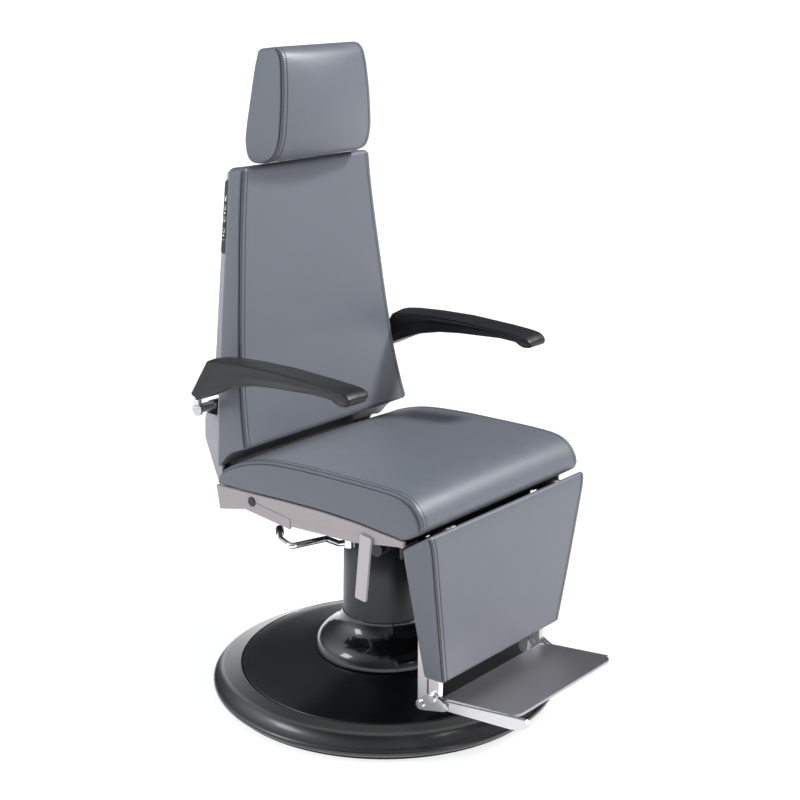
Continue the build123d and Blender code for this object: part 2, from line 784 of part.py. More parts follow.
# Legrest tubes: eye on the front hinge pin, eye on the footrest pin
for name, sign in mirror_sides():
    lane_plane, lane_depth = across(sign, tube_x, tube_x + tube_t)
    with BuildPart() as leg_tube:
        with BuildSketch(lane_plane):
            with Locations(leg_foot_pivot, (leg_foot_pivot[0], tube_turn_z - tube_w)):
                Circle(tube_w / 2)
            make_hull()
            with Locations(leg_pivot):
                Circle(top_eye_r)
            outline(
                (leg_pivot[0] - 4, leg_pivot[1] - 5), (leg_pivot[0] + 5, leg_pivot[1] - 4),
                (tube_rear_y - 8, tube_turn_z - tube_w / 2), (tube_front_y, tube_turn_z - tube_w),
            )
            with Locations(leg_foot_pivot):
                Circle(pin_r + run_clear, mode=Mode.SUBTRACT)
            with Locations(leg_pivot):
                Circle(small_pin_r + run_clear, mode=Mode.SUBTRACT)
        extrude(amount=lane_depth)
    save(leg_tube, "leg_tube_" + name)

    # Rear link, parallel to the tube
    link_top = link_end(leg_pivot)
    with BuildPart() as leg_link:
        with BuildSketch(lane_plane):
            with Locations(link_foot, (link_foot[0], tube_turn_z - 14)):
                Circle(link_w / 2)
            make_hull()
            with Locations(link_top):
                Circle(top_eye_r)
            outline(
                (link_top[0] - 3, link_top[1] - 5), (link_top[0] + 4, link_top[1] + 5),
                (link_foot[0] + link_w / 2, tube_turn_z - 14), (link_foot[0] - link_w / 2, tube_turn_z - 14),
            )
            with Locations(link_foot):
                Circle(pin_r + run_clear, mode=Mode.SUBTRACT)
            with Locations(link_top):
                Circle(small_pin_r + run_clear, mode=Mode.SUBTRACT)
        extrude(amount=lane_depth)
    save(leg_link, "leg_link_" + name)

# Board between the tubes
with BuildPart() as leg_board:
    with BuildSketch(Plane.XZ.offset(-tube_rear_y)):
        with Locations((0, (leg_foot_z + 6 + tube_turn_z) / 2)):
            Rectangle(2 * tube_x, tube_turn_z - leg_foot_z - 6)
    extrude(amount=tube_w)
save(leg_board, "leg_board")

# Legrest cushion: tapered, its top edge follows the seat's nose; pocketed behind for board, tubes and hinges
leg_front_y = -309.0
with BuildPart() as leg_cushion:
    with BuildSketch(Plane.YZ.offset(-leg_half_w)):
        outline(
            (-302, leg_foot_z), (leg_front_y, 440), (-306, 452), (-300, 452), (-244, 416),
            (tube_rear_y, leg_foot_z),
        )
    extrude(amount=2 * leg_half_w)
    with BuildSketch(Plane.XZ):
        outline(
            (-leg_foot_half_w, leg_foot_z), (leg_foot_half_w, leg_foot_z),
            (leg_half_w, leg_top_z), (-leg_half_w, leg_top_z),
        )
    extrude(amount=400, mode=Mode.INTERSECT)
    with BuildSketch(Plane.XY.offset(leg_foot_z)):
        with Locations((0, (tube_front_y - gap) / 2)):
            Rectangle(2 * (tube_x + tube_t + gap), -tube_front_y + gap)
    extrude(amount=tube_turn_z - leg_foot_z, mode=Mode.SUBTRACT)
    for name, sign in mirror_sides():
        notch_plane, notch_depth = across(sign, tube_x - gap, plate_x + hinge_t + side_gap)
        with BuildSketch(notch_plane):
            outline(
                (-305.5, 470), (-305.5, 436), (tube_front_y - gap, tube_turn_z - 40),
                (-230, tube_turn_z - 40), (-230, 470),
            )
        extrude(amount=notch_depth, mode=Mode.SUBTRACT)
save(leg_cushion, "leg_cushion")

# ---- Footrest --------------------------------------------------------------------------------------------
for name, sign in mirror_sides():
    bracket_plane, bracket_depth = across(sign, plate_x, plate_x + hinge_t)
    with BuildPart() as foot_bracket:
        with BuildSketch(bracket_plane):
            with Locations(leg_foot_pivot, link_foot):
                Circle(foot_eye_r)
            with Locations(fold_pivot):
                Circle(fold_eye_r)
            make_hull()
        extrude(amount=bracket_depth)
        foot_pin_plane, foot_pin_depth = across(sign, tube_x, plate_x)
        with BuildSketch(foot_pin_plane):
            with Locations(leg_foot_pivot, link_foot):
                Circle(pin_r)
        extrude(amount=foot_pin_depth)
        fold_pin_plane, fold_pin_depth = across(sign, footplate_half_w + gap, plate_x)
        with BuildSketch(fold_pin_plane):
            with Locations(fold_pivot):
                Circle(pin_r)
        extrude(amount=fold_pin_depth)
        bolt_plane, bolt_depth = across(sign, plate_x + hinge_t, plate_x + hinge_t + bolt_head_t)
        with BuildSketch(bolt_plane):
            with Locations(leg_foot_pivot, link_foot):
                Circle(foot_bolt_r)
        extrude(amount=bolt_depth)
    save(foot_bracket, "foot_bracket_" + name)

    # Side bar: eye on the fold pin, deepening towards the front; the right one reaches past the plate
    bar_plane, bar_depth = across(sign, footplate_half_w + gap, footplate_half_w + gap + side_bar_t)
    with BuildPart() as side_bar:
        with BuildSketch(bar_plane):
            front = [(-440, 102), (-466, 110), (-474, 116), (-474, 126), (-470, 129.5), (-434, 125)]
            if sign > 0:
                front = [(-410, 101), (-426, 106), (-430, 112), (-430, 123.5)]
            outline((fold_pivot[0], fold_pivot[1] - fold_eye_r), *front, (fold_pivot[0], fold_pivot[1] + fold_eye_r))
            with Locations(fold_pivot):
                Circle(fold_eye_r)
                Circle(pin_r + run_clear, mode=Mode.SUBTRACT)
        extrude(amount=bar_depth)
    save(side_bar, "side_bar_" + name)

# Footplate: tilted up to the front, with rounded front corners
plate_rise = degrees(atan(21 / 170))
plate_len = 171.0
with BuildPart() as footplate:
    plate_up = (0, sin(radians(plate_rise)), cos(radians(plate_rise)))
    tread = Plane(origin=(0, -277, 106 - footplate_t), x_dir=(1, 0, 0), z_dir=plate_up)
    with BuildSketch(tread) as tread_outline:
        with Locations((0, -plate_len / 2)):
            Rectangle(2 * (footplate_half_w + gap), plate_len)
        fillet(tread_outline.vertices().group_by(Axis.Y)[0], footplate_corner)
    extrude(amount=footplate_t)
save(footplate, "footplate")
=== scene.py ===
import math

import bmesh
import bpy
import numpy as np
from mathutils import Matrix, Vector


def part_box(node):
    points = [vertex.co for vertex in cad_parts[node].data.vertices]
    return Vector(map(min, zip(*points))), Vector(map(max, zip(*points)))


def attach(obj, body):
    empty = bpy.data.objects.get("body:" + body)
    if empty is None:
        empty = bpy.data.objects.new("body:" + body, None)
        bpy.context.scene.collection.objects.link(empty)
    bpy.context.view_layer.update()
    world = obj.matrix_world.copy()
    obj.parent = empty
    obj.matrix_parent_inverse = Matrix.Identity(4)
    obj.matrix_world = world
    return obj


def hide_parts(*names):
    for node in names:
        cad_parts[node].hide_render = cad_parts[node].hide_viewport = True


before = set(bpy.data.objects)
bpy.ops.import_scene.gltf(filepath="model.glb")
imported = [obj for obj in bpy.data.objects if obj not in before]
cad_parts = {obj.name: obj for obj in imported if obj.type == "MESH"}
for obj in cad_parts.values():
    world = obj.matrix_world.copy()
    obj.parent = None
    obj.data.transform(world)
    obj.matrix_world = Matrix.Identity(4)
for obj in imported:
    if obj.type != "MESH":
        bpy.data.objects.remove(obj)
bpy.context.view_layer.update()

# ---- Room and camera -----------------------------------------------------------------------------
# A pale seamless floor under daylight from the sitter's left front. One panel lights the head, one stands in
# front, and one behind is mirrored by the base. The camera stands at the chair's right front.
FLOOR_REACH = 80.0
AIM = Vector((0.0, -0.0391, 0.5992))
VIEW_TURN = math.radians(-49.31)
VIEW_RISE = math.radians(16.54)
VIEW_DISTANCE = 2.9768
LENS = 69.55
SKY_LEFT = (-0.62, 0.66, 0.52)
SKY_TOP = (0.0, -0.1, 1.0)
SKY_FRONT = (-0.3, -0.9, 0.3)
SKY_BASE = 0.08


def mesh_object(name, points, faces, smooth=True):
    mesh = bpy.data.meshes.new(name)
    mesh.from_pydata([tuple(p) for p in points], [], faces)
    mesh.validate()
    mesh.polygons.foreach_set("use_smooth", [smooth] * len(mesh.polygons))
    made = bpy.data.objects.new(name, mesh)
    bpy.context.scene.collection.objects.link(made)
    return made


def face_outwards(piece):
    """Turns every face of a closed mesh outwards."""
    tidy = bmesh.new()
    tidy.from_mesh(piece.data)
    bmesh.ops.recalc_face_normals(tidy, faces=tidy.faces)
    tidy.to_mesh(piece.data)
    tidy.free()
    return piece


class Socket:
    """A node's output, so that maths on it reads as an expression."""

    def __init__(self, finish, socket):
        self.finish = finish
        self.socket = socket

    def maths(self, operation, first, second):
        return self.finish.node("ShaderNodeMath", {"operation": operation}, {0: first, 1: second})

    def __add__(self, other):
        return self.maths("ADD", self, other)

    __radd__ = __add__

    def __sub__(self, other):
        return self.maths("SUBTRACT", self, other)

    def __rsub__(self, other):
        return self.maths("SUBTRACT", other, self)

    def __mul__(self, other):
        return self.maths("MULTIPLY", self, other)

    __rmul__ = __mul__

    def __truediv__(self, other):
        return self.maths("DIVIDE", self, other)

    def __pow__(self, other):
        return self.maths("POWER", self, other)


class Finish:
    """One material: its shader's constants are given by name, and its varying inputs are fed afterwards."""

    def __init__(self, name, **constants):
        self.material = bpy.data.materials.new(name)
        self.material.use_nodes = True
        self.tree = self.material.node_tree
        self.shader = self.tree.nodes["Principled BSDF"]
        for socket, value in constants.items():
            self.shader.inputs[socket.replace("_", " ")].default_value = value

    def node(self, kind, settings=None, inputs=None, out=0):
        made = self.tree.nodes.new(kind)
        for key, value in (settings or {}).items():
            if key == "stops":
                for stop, (place, colour) in zip(made.color_ramp.elements, value):
                    stop.position = place
                    stop.color = colour
            else:
                setattr(made, key, value)
        for key, value in (inputs or {}).items():
            self.feed(made.inputs[key], value)
        return Socket(self, made.outputs[out])

    def feed(self, target, value):
        if isinstance(target, str):
            target = self.shader.inputs[target]
        if isinstance(value, Socket):
            self.tree.links.new(value.socket, target)
        else:
            target.default_value = value

    def place(self, stretch=(1, 1, 1)):
        spot = self.node("ShaderNodeTexCoord", out="Object")
        return self.node("ShaderNodeMapping", inputs={"Vector": spot, "Scale": stretch})

    def noise(self, scale, detail=3.0, stretch=(1, 1, 1)):
        return self.node(
            "ShaderNodeTexNoise",
            inputs={"Vector": self.place(stretch), "Scale": scale, "Detail": detail},
            out="Fac",
        )

    def mix(self, factor, first, second):
        return self.node("ShaderNodeMix", {"data_type": "RGBA"}, {0: factor, 6: first, 7: second}, out=2)

    def bump(self, height, strength, depth):
        sizes = {"Height": height, "Strength": strength, "Distance": depth}
        relief = self.node("ShaderNodeBump", inputs=sizes)
        self.feed("Normal", relief)


floor_corners = ((-1, -1), (1, -1), (1, 1), (-1, 1))
floor_points = [(x * FLOOR_REACH, y * FLOOR_REACH, 0) for x, y in floor_corners]
floor = mesh_object("floor", floor_points, [(0, 1, 2, 3)])
paper = Finish(
    "pale_floor", Base_Color=(0.36, 0.36, 0.36, 1), Roughness=0.9, Specular_IOR_Level=0.0,
    Emission_Color=(1, 1, 1, 1), Emission_Strength=0.80,
)
paper.bump(paper.noise(60), 0.05, 0.001)
floor.data.materials.append(paper.material)

world = bpy.data.worlds.new("studio")
world.use_nodes = True
bpy.context.scene.world = world
bpy.context.scene.view_settings.view_transform = "Standard"


def sky_node(kind, settings=None, inputs=None):
    made = world.node_tree.nodes.new(kind)
    for key, value in (settings or {}).items():
        setattr(made, key, value)
    for key, value in (inputs or {}).items():
        if isinstance(value, bpy.types.NodeSocket):
            world.node_tree.links.new(value, made.inputs[key])
        else:
            made.inputs[key].default_value = value
    return made.outputs["Value"] if kind == "ShaderNodeVectorMath" else made.outputs[0]


def glow(direction, sharpness, strength):
    """Light that grows towards one side of the room."""
    way = sky_node("ShaderNodeTexCoord")
    aim = Vector(direction).normalized()
    facing = sky_node("ShaderNodeVectorMath", {"operation": "DOT_PRODUCT"}, {0: way, 1: aim})
    lit = sky_node("ShaderNodeMath", {"operation": "MAXIMUM"}, {0: facing, 1: 0.0})
    lobe = sky_node("ShaderNodeMath", {"operation": "POWER"}, {0: lit, 1: sharpness})
    return sky_node("ShaderNodeMath", {"operation": "MULTIPLY"}, {0: lobe, 1: strength})


sky_sum = glow(SKY_LEFT, 6.0, 1.8)
for part in (glow(SKY_TOP, 2.5, 0.38), glow(SKY_FRONT, 2.0, 0.24), SKY_BASE):
    sky_sum = sky_node("ShaderNodeMath", {"operation": "ADD"}, {0: sky_sum, 1: part})
backdrop = world.node_tree.nodes["Background"]
backdrop.inputs["Color"].default_value = (0.90, 0.95, 1.0, 1)
world.node_tree.links.new(sky_sum, backdrop.inputs["Strength"])


def daylight(name, towards, power, spread):
    lamp = bpy.data.lights.new(name, "SUN")
    lamp.energy = power
    lamp.angle = math.radians(spread)
    made = bpy.data.objects.new(name, lamp)
    made.rotation_mode = "QUATERNION"
    made.rotation_quaternion = Vector(towards).to_track_quat("Z", "Y")
    bpy.context.scene.collection.objects.link(made)


def panel(name, place, aim, size, power, colour=(1, 1, 1)):
    lamp = bpy.data.lights.new(name, "AREA")
    lamp.shape = "RECTANGLE"
    lamp.size, lamp.size_y = size
    lamp.energy = power
    lamp.color = colour
    made = bpy.data.objects.new(name, lamp)
    made.location = place
    made.rotation_mode = "QUATERNION"
    made.rotation_quaternion = (Vector(place) - Vector(aim)).to_track_quat("Z", "Y")
    bpy.context.scene.collection.objects.link(made)


daylight("key_daylight", (0.80, -0.95, 1.25), 3.5, 9)
panel("front_panel", (-0.4, -3.0, 1.3), (0.0, -0.1, 0.4), (0.35, 0.9), 5)
panel("top_panel", (1.1, -1.5, 2.4), (0.0, 0.1, 1.1), (0.6, 0.6), 26, (0.92, 0.96, 1.0))
panel("left_panel", (-2.6, 1.6, 1.9), (0, 0, 0.1), (0.9, 1.2), 26, (0.84, 0.92, 1.0))

camera = bpy.data.objects.new("camera", bpy.data.cameras.new("camera"))
back_way = Vector(
    (
        math.sin(VIEW_TURN) * math.cos(VIEW_RISE),
        -math.cos(VIEW_TURN) * math.cos(VIEW_RISE),
        math.sin(VIEW_RISE),
    )
)
camera.location = AIM + back_way * VIEW_DISTANCE
camera.rotation_mode = "QUATERNION"
camera.rotation_quaternion = (-back_way).to_track_quat("-Z", "Y")
camera.data.lens = LENS
camera.data.sensor_width = 36
bpy.context.scene.collection.objects.link(camera)
bpy.context.scene.camera = camera

# ---- Seat cushion --------------------------------------------------------------------------------
# Moulded foam in stitched leatherette: a top panel that rolls over the nose, boxed by flat side panels. They
# meet in a felled seam along the edge, held by two rows of stitching on the top panel. Sizes are in metres.
SEAT_EDGE = 0.012
SEAT_CROWN = 0.006
SEAM_DEPTH = 0.0022
SEAM_TURN = 0.42        # how far round the edge the seam lies, from the near panel to the side panel
SEAM_R = 0.0009
STITCH_PITCH = 0.0050
STITCH_LEN = 0.0037
STITCH_R = 0.0009
STITCH_ROWS = (-0.0035, 0.0040)     # distances of the stitch rows inwards from the edge's rounding


def leather(name, light, dark):
    made = Finish(name, Specular_IOR_Level=0.55, Coat_Weight=0.12, Coat_Roughness=0.30, Sheen_Weight=0.05)
    cells = made.node(
        "ShaderNodeTexVoronoi", {"feature": "DISTANCE_TO_EDGE"}, {"Vector": made.place(), "Scale": 520.0}
    )
    grain = made.noise(900, 2) * 0.35 + cells * 1.6
    broad = made.noise(3.2, 4)
    mottle = made.noise(38, 5)
    made.feed("Base Color", made.mix(broad * 0.55 + mottle * 0.45, dark, light))
    made.feed("Roughness", 0.38 + mottle * 0.16)
    made.bump(grain, 0.28, 0.0005)
    return made.material


def smoothed(points, count, rounded=True):
    """Evenly spaced points along a line through the given (y, z) points."""
    line = np.array(points, float)
    if rounded and len(line) > 2:
        ends = np.vstack([2 * line[0] - line[1], line, 2 * line[-1] - line[-2]])
        parts = []
        for a, b, c, d in zip(ends, ends[1:], ends[2:], ends[3:]):
            t = np.linspace(0, 1, 24, endpoint=False)[:, None]
            square = 2 * a - 5 * b + 4 * c - d
            cube = 3 * b - a - 3 * c + d
            parts.append(0.5 * (2 * b + (c - a) * t + square * t ** 2 + cube * t ** 3))
        line = np.vstack(parts + [line[-1:]])
    walked = np.r_[0, np.cumsum(np.linalg.norm(np.diff(line, axis=0), axis=1))]
    steps = np.linspace(0, walked[-1], count)
    return np.c_[np.interp(steps, walked, line[:, 0]), np.interp(steps, walked, line[:, 1])], walked[-1]


class Upholstery:
    """A crowned, boxed cushion. Its near line is the side that the sitter meets, its far line the one behind,
    both as (y, z) from end to end. A place in it is (across, depth from the near side, length along it)."""

    def __init__(
        self, near, far, half_width, edge, crown=0.0, pull=0.0, puff=0.0, wrap=0.0, recess=None,
        rounded=True, side_shape=None, dome=2.4, drop=0.0, outer=1,
    ):
        self.near, self.length = smoothed(near, 400, rounded)
        self.far = smoothed(far, 400, rounded)[0]
        self.half_width = half_width
        self.edge = edge
        self.crown = crown
        self.dome = dome
        self.pull = pull
        self.puff = puff
        self.wrap = wrap
        self.recess = recess
        self.side_shape = side_shape
        self.drop = drop        # how far the near face dips on the side away from the outer one
        self.outer = outer

    def lines_at(self, along):
        share = min(max(along / self.length, 0), 1) * 399
        low = min(int(share), 398)
        part = share - low
        return (
            self.near[low] * (1 - part) + self.near[low + 1] * part,
            self.far[low] * (1 - part) + self.far[low + 1] * part,
        )

    def size_at(self, along):
        near, far = self.lines_at(along)
        return self.half_width(near[1]), float(np.linalg.norm(far - near))

    def point(self, across, depth, along):
        """The surface point for a place on the box's outside, with rounded edges, crown and seam."""
        width, thick = self.size_at(along)
        edge = min(self.edge, thick * 0.49)
        held = (
            min(max(across, -width + edge), width - edge),
            min(max(depth, edge), thick - edge),
            min(max(along, edge), self.length - edge),
        )
        out = np.array((across, depth, along)) - held
        reach = np.linalg.norm(out)
        if reach > 1e-9:
            seam = 0.0
            if abs(out[0]) > 1e-9 and out[1] < -1e-9:
                turn = math.atan2(-out[1], abs(out[0])) / (math.pi / 2)
                seam = SEAM_DEPTH * math.exp(-(((turn - SEAM_TURN) / 0.10) ** 2))
            across, depth, along = np.array(held) + out / reach * (edge - seam)
        near, far = self.lines_at(along)
        middle = max(0.0, 1 - (2 * along / self.length - 1) ** 2)
        side = abs(across) / width
        level = depth / thick
        inwards = max(0.0, -across * self.outer / width)
        depth += self.drop * inwards * middle ** 0.5 * max(0.0, 1 - level * 1.8)
        swell = self.crown * (1 - side ** self.dome) * middle ** 0.6 * max(0.0, 1 - level * 1.6)
        if self.wrap and level > 0.5:
            turned = min(max((abs(across) - width + 0.026) / 0.010, 0), 1)
            depth += self.wrap * turned * (2 * level - 1)
        if self.recess and level > 0.5:
            depth -= self.recess(across, near[1], far[0]) * (2 * level - 1)
        taper = -self.pull * middle * side ** 6
        bulge = self.puff * 4 * level * (1 - level) * middle ** 0.5 * side ** 8
        shape = self.side_shape(level, across) if self.side_shape else 0.0
        across += math.copysign(taper + bulge + shape * side ** 4, across)
        y, z = near + (far - near) * ((depth - swell) / thick)
        return Vector((across, y, z))

    def normal(self, across, depth, along):
        step = 0.002
        wide = self.point(across + step, depth, along) - self.point(across - step, depth, along)
        long = self.point(across, depth, along + step) - self.point(across, depth, along - step)
        return wide.cross(long).normalized(), long.normalized()

    def build(self, name, rows, columns, layers=6):
        """The closed mesh: a grid over the box's six faces, dense in the rounded edges."""
        turns = [1 - math.tan(math.radians(a)) for a in (45, 36, 27, 18, 9)]

        def stations(size, inner):
            edge = [self.edge * t for t in turns]
            middle = list(np.linspace(self.edge, size - self.edge, inner + 1))
            return edge + middle + [size - e for e in edge[::-1]]

        longs = stations(self.length, rows)
        count = (len(stations(1, columns)), len(stations(1, layers)), len(longs))
        keys, points, faces = {}, [], []

        def corner(i, j, k):
            if (i, j, k) not in keys:
                along = longs[k]
                width, thick = self.size_at(along)
                edge = min(self.edge, thick * 0.49)
                steps_x = [edge * t for t in turns]
                wide = steps_x + list(np.linspace(edge, 2 * width - edge, columns + 1))
                wide += [2 * width - e for e in steps_x[::-1]]
                deep = steps_x + list(np.linspace(edge, thick - edge, layers + 1))
                deep += [thick - e for e in steps_x[::-1]]
                keys[i, j, k] = len(points)
                points.append(self.point(wide[i] - width, deep[j], along))
            return keys[i, j, k]

        def quad(*places):
            faces.append([corner(*place) for place in places])

        ni, nj, nk = (c - 1 for c in count)
        for i in range(ni):
            for k in range(nk):
                quad((i, 0, k), (i + 1, 0, k), (i + 1, 0, k + 1), (i, 0, k + 1))
                quad((i, nj, k), (i, nj, k + 1), (i + 1, nj, k + 1), (i + 1, nj, k))
        for j in range(nj):
            for k in range(nk):
                quad((0, j, k), (0, j, k + 1), (0, j + 1, k + 1), (0, j + 1, k))
                quad((ni, j, k), (ni, j + 1, k), (ni, j + 1, k + 1), (ni, j, k + 1))
        for i in range(ni):
            for j in range(nj):
                quad((i, j, 0), (i, j + 1, 0), (i + 1, j + 1, 0), (i + 1, j, 0))
                quad((i, j, nk), (i + 1, j, nk), (i + 1, j + 1, nk), (i, j + 1, nk))
        return face_outwards(mesh_object(name, points, faces))

    def stitches(self, name, rows=STITCH_ROWS):
        """Thread along both side seams: one short bowed stitch after another, lying on the near panel."""
        points, faces = [], []
        start = self.edge * 0.4
        for side in (-1, 1):
            for row in rows:
                for number in range(int((self.length - 2 * start) / STITCH_PITCH)):
                    along = start + (number + 0.5) * STITCH_PITCH
                    across = side * (self.size_at(along)[0] - self.edge - row)
                    up, way = self.normal(across, 0, along)
                    beside = up.cross(way)
                    middle = self.point(across, 0, along)
                    first = len(points)
                    for step in (-1, -0.6, 0, 0.6, 1):
                        thick = STITCH_R * (0.35 if abs(step) == 1 else 1)
                        lift = up * (STITCH_R * (0.8 - abs(step) * 1.2))
                        core = middle + way * (step * STITCH_LEN / 2) + lift + beside * (step * 0.0003 * side)
                        for turn in range(6):
                            angle = turn * math.pi / 3
                            points.append(core + (up * math.sin(angle) + beside * math.cos(angle)) * thick)
                    for ring in range(4):
                        for turn in range(6):
                            a = first + ring * 6 + turn
                            b = first + ring * 6 + (turn + 1) % 6
                            faces.append([a, b, b + 6, a + 6])
                    faces.append([first + turn for turn in range(5, -1, -1)])
                    faces.append([first + 24 + turn for turn in range(6)])
            first = len(points)
            count = int(self.length / 0.006)
            for number in range(count + 1):
                along = start + (self.length - 2 * start) * number / count
                width = self.size_at(along)[0]
                middle = self.point(side * width, self.edge * SEAM_TURN, along)
                out = (Vector((side * 0.75, 0, 0)) + self.normal(0, 0, along)[0] * 0.65).normalized()
                way = self.normal(0, 0, along)[1]
                beside = out.cross(way)
                for turn in range(6):
                    angle = turn * math.pi / 3
                    points.append(middle + (out * math.sin(angle) + beside * math.cos(angle)) * SEAM_R)
            for number in range(count):
                for turn in range(6):
                    a = first + number * 6 + turn
                    b = first + number * 6 + (turn + 1) % 6
                    faces.append([a, b, b + 6, a + 6])
        return mesh_object(name, points, faces)


GREY_LEATHER = leather("grey_leatherette", (0.112, 0.122, 0.146, 1), (0.093, 0.102, 0.123, 1))
thread = Finish("dark_thread", Base_Color=(0.03, 0.033, 0.038, 1), Roughness=0.6)
thread.feed("Base Color", thread.mix(thread.noise(600), (0.012, 0.013, 0.016, 1), (0.035, 0.037, 0.042, 1)))


def upholster(form, name, node, body, rows, columns, layers=6, cut=None):
    """Builds a cushion and its thread, dresses them, and lets them stand for the CAD solid."""
    made = form.build(name, rows, columns, layers)
    if cut:
        cut(made)
    made.data.materials.append(GREY_LEATHER)
    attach(made, body)
    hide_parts(node)
    sewn = form.stitches(name + "_stitching")
    sewn.data.materials.append(thread.material)
    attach(sewn, body)
    return made


seat_low, seat_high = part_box("seat_cushion")
seat_form = Upholstery(
    near=[
        (0.220, 0.445), (0.207, 0.464), (0.161, 0.488), (0.092, 0.507), (0, 0.5155), (-0.1, 0.5185),
        (-0.196, 0.5200), (-0.246, 0.517), (-0.274, 0.505), (-0.291, 0.483), (-0.2955, 0.459),
    ],
    far=[
        (0.226, 0.430), (0.131, 0.434), (0.039, 0.439), (-0.050, 0.442), (-0.138, 0.441), (-0.200, 0.437),
        (-0.254, 0.434),
    ],
    half_width=lambda z: seat_high.x + 0.0045,
    edge=SEAT_EDGE, crown=SEAT_CROWN, pull=0.001, puff=0.002,
)
upholster(seat_form, "seat_upholstery", "seat_cushion", "seat", 56, 30)

# ---- Back cushion --------------------------------------------------------------------------------
# A tall tapered pad, thick at the waist and slim at the shoulders, boxed like the seat. Its cover is pulled
# round the board behind, up to the shell. Its foot is hollowed about the recline axis.
BACK_WIDE_Z = 0.516
BACK_TOP_Z = 1.037
BACK_HALF_W = 0.238
BACK_TOP_HALF_W = 0.177
RECLINE_Y = 0.130
RECLINE_Z = 0.417
SWEEP_R = 0.1012


def back_width(z):
    narrowing = BACK_HALF_W - BACK_TOP_HALF_W
    return BACK_HALF_W - narrowing * (max(z, BACK_WIDE_Z) - BACK_WIDE_Z) / (BACK_TOP_Z - BACK_WIDE_Z)


def prism(name, outline, low_x, high_x):
    """A straight bar along X with the given (y, z) outline."""
    count = len(outline)
    points = [(x, y, z) for x in (low_x, high_x) for y, z in outline]
    faces = [list(range(count)), list(range(2 * count - 1, count - 1, -1))]
    faces += [[i, i + count, (i + 1) % count + count, (i + 1) % count] for i in range(count)]
    return face_outwards(mesh_object(name, points, faces, smooth=False))


def carve(piece, outline, low_x, high_x):
    """Cuts a straight bar along X out of a cushion."""
    cutter = prism("cutter", outline, low_x, high_x)
    cut = piece.modifiers.new("cut", "BOOLEAN")
    cut.object = cutter
    cut.operation = "DIFFERENCE"
    cut.solver = "EXACT"
    shape = bpy.data.meshes.new_from_object(piece.evaluated_get(bpy.context.evaluated_depsgraph_get()))
    piece.modifiers.clear()
    piece.data = shape
    bpy.data.objects.remove(cutter)


def round_foot(piece):
    """The lower end is hollowed about the recline axis, so that it passes the side plates."""
    angles = (math.tau * step / 72 for step in range(72))
    ring = [(RECLINE_Y + SWEEP_R * math.cos(a), RECLINE_Z + SWEEP_R * math.sin(a)) for a in angles]
    carve(piece, ring, -0.3, 0.3)


back_form = Upholstery(
    near=[
        (0.144, 0.518), (0.155, 0.562), (0.167, 0.627), (0.175, 0.702), (0.180, 0.758), (0.185, 0.833),
        (0.190, 0.908), (0.193, 0.982), (0.193, 1.043),
    ],
    far=[
        (0.219, 0.468), (0.221, 0.545), (0.223, 0.600), (0.225, 0.700), (0.226, 0.760), (0.226, 0.900),
        (0.226, 1.040),
    ],
    half_width=back_width, edge=0.009, crown=0.006, pull=0.001, puff=0.002, wrap=0.0125,
)
upholster(back_form, "back_upholstery", "back_cushion", "back", 56, 28, cut=round_foot)

# ---- Headrest cushion ----------------------------------------------------------------------------
# A teardrop pillow, fuller at the neck, with a domed face. Behind, a recess takes the tilt hinge.
HEAD_FOOT_Z = 1.047
HEAD_TOP_Z = 1.260
HEAD_HALF_W = 0.131
HEAD_TOP_HALF_W = 0.114
RECESS_TOP_Z = 1.165
hinge_low, hinge_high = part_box("head_board")


def head_width(z):
    return HEAD_HALF_W - (HEAD_HALF_W - HEAD_TOP_HALF_W) * (z - HEAD_FOOT_Z) / (HEAD_TOP_Z - HEAD_FOOT_Z)


def head_recess(across, z, rear_y):
    beside = min(max((hinge_high.x + 0.004 - abs(across)) / 0.008, 0), 1)
    below = min(max((RECESS_TOP_Z - z) / 0.012, 0), 1)
    return beside * below * max(0.0, rear_y - hinge_high.y + 0.030)


head_form = Upholstery(
    near=[
        (0.193, 1.0450), (0.160, 1.060), (0.146, 1.090), (0.1425, 1.130), (0.1430, 1.184), (0.149, 1.240),
        (0.165, 1.261),
    ],
    far=[
        (0.217, 1.0450), (0.232, 1.056), (0.239, 1.084), (0.237, 1.114), (0.230, 1.161), (0.222, 1.216),
        (0.213, 1.255),
    ],
    half_width=head_width, edge=0.008, crown=0.017, pull=0.001, puff=0.002, recess=head_recess, dome=2.0,
)
upholster(head_form, "head_upholstery", "head_cushion", "headrest", 36, 26)

# ---- Legrest cushion -----------------------------------------------------------------------------
# A slim tapered calf pad. Its front panel rolls over the top edge under the seat's nose. Two notches at the
# top let the hinge plates and the rear links in.
LEG_TOP_Z = 0.458
LEG_FOOT_Z = 0.147
LEG_HALF_W = 0.238
LEG_FOOT_HALF_W = 0.181
NOTCH_MARGIN = 0.0018
plate_low, plate_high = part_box("leg_hinge_left")


def leg_width(z):
    return LEG_FOOT_HALF_W + (LEG_HALF_W - LEG_FOOT_HALF_W) * (z - LEG_FOOT_Z) / (LEG_TOP_Z - LEG_FOOT_Z)


def notch_legrest(piece):
    outline = [(-0.3055, 0.480), (-0.3055, 0.436), (-0.2745, 0.356), (-0.220, 0.356), (-0.220, 0.480)]
    for side in (-1, 1):
        ends = sorted((side * (plate_low.x - NOTCH_MARGIN), side * (plate_high.x + NOTCH_MARGIN)))
        carve(piece, outline, *ends)


